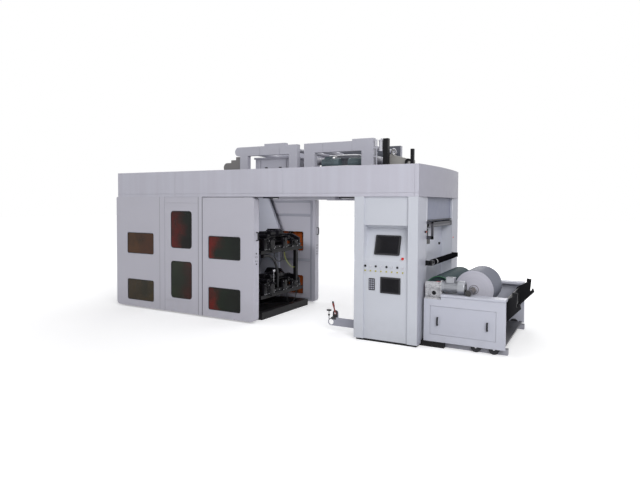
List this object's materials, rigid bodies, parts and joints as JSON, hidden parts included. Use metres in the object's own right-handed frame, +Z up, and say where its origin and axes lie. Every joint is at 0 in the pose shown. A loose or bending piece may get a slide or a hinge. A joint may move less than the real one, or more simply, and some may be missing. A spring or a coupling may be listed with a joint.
{
  "type": "bag film printing machine",
  "caption": "Enclosed drum printing machine for bag film with window panels, sliding doors, header over a walkway, control column and surface unwinder.",
  "frame": {"origin": "on the floor under the middle of the whole machine", "axes": "+X along the machine from the printing block to the unwinder, +Y from the operator's side to the drive side, +Z up"},
  "size_m": [7.35, 2.19, 3.01],
  "materials": {
    "light_paint": "satin",
    "grey_paint": "satin",
    "blue_grey_paint": "satin",
    "black_paint": "satin",
    "tan_paint": "satin",
    "orange_pane": "polished",
    "black_plastic": "moulded",
    "control_plastic": "moulded",
    "red_plastic": "moulded",
    "screen_plastic": "gloss",
    "roller_chrome": "polished",
    "steel": "turned",
    "cast_paint": "painted casting",
    "silver_motor": "satin",
    "green_rubber": "ground",
    "film": "wound film",
    "black_rubber": "satin",
    "tube_plastic": "extruded"
  },
  "bodies": {
    "machine": {"access_panel": "light_paint", "air_tube": "tube_plastic", "base_frame": "black_paint", "column_base": "black_paint", "column_front": "light_paint", "column_guard_panel": "blue_grey_paint", "column_inner_panel": "grey_paint", "column_rear": "light_paint", "console_controls": "control_plastic", "decks_left": "black_paint", "decks_right": "black_paint", "door_rails": "steel", "drying_box": "grey_paint", "fixed_windows": "orange_pane", "front_centre_panel": "light_paint", "front_cover": "light_paint", "gear_motor": "silver_motor", "gearbox": "cast_paint", "header_beams": "grey_paint", "header_deck": "grey_paint", "header_front": "light_paint", "header_left_end": "light_paint", "header_rear": "light_paint", "header_right_end": "light_paint", "impression_drum": "roller_chrome", "left_end_wall": "light_paint", "lever_bracket": "grey_paint", "lower_hose_loop": "black_rubber", "main_hose": "black_rubber", "print_rollers": "steel", "rail_wheels": "black_rubber", "rear_centre_panel": "light_paint", "rear_cover": "light_paint", "roller_brackets": "black_paint", "screens": "screen_plastic", "side_frame_front": "grey_paint", "side_frame_rear": "grey_paint", "stop_button": "red_plastic", "top_frame_left": "light_paint", "top_frame_right": "light_paint", "top_guard": "tan_paint", "top_motor": "grey_paint", "top_posts": "black_paint", "unwinder_base": "grey_paint", "unwinder_front_wall": "light_paint", "unwinder_rear_wall": "light_paint", "upper_hose_loop": "black_rubber"},
    "front_door": {"front_door": "light_paint", "front_door_windows": "orange_pane", "front_door_handle": "black_plastic"},
    "rear_door": {"rear_door": "light_paint", "rear_door_windows": "orange_pane", "rear_door_handle": "black_plastic"},
    "surface_drum": {"surface_drum": "green_rubber"},
    "film_roll": {"film_roll": "film", "air_shaft": "steel"},
    "loading_arms": {"loading_arms": "black_paint"},
    "upper_roller": {"upper_roller": "roller_chrome"},
    "lower_roller": {"lower_roller": "black_rubber"},
    "hand_lever": {"hand_lever": "red_plastic"}
  },
  "joints": [
    {"name": "front_door_slide", "type": "slide", "parent": "machine", "child": "front_door", "axis": [1, 0, 0], "range_m": [0, 1.1]},
    {"name": "rear_door_slide", "type": "slide", "parent": "machine", "child": "rear_door", "axis": [1, 0, 0], "range_m": [0, 1.1]},
    {"name": "drum_spin", "type": "hinge", "parent": "machine", "child": "surface_drum", "pos_m": [2.54, 0, 0.756], "axis": [0, 1, 0], "continuous": true},
    {"name": "roll_spin", "type": "hinge", "parent": "machine", "child": "film_roll", "pos_m": [3.01607, 0, 0.7903], "axis": [0, 1, 0], "continuous": true},
    {"name": "upper_roller_spin", "type": "hinge", "parent": "machine", "child": "upper_roller", "pos_m": [2.33, 0, 1.69], "axis": [0, 1, 0], "continuous": true},
    {"name": "lower_roller_spin", "type": "hinge", "parent": "machine", "child": "lower_roller", "pos_m": [2.432, 0, 1.15], "axis": [0, 1, 0], "continuous": true},
    {"name": "loading_arm_swing", "type": "hinge", "parent": "machine", "child": "loading_arms", "pos_m": [3.32, 0, 0.25], "axis": [0, 1, 0], "range_deg": [0, 50]},
    {"name": "hand_lever_turn", "type": "hinge", "parent": "machine", "child": "hand_lever", "pos_m": [0.945, -0.795, 0.28], "axis": [0, 1, 0], "range_deg": [-35, 35]}
  ],
  "couplings": [
    {"joint": "roll_spin", "follows": "drum_spin", "ratio": -0.75368}
  ]
}
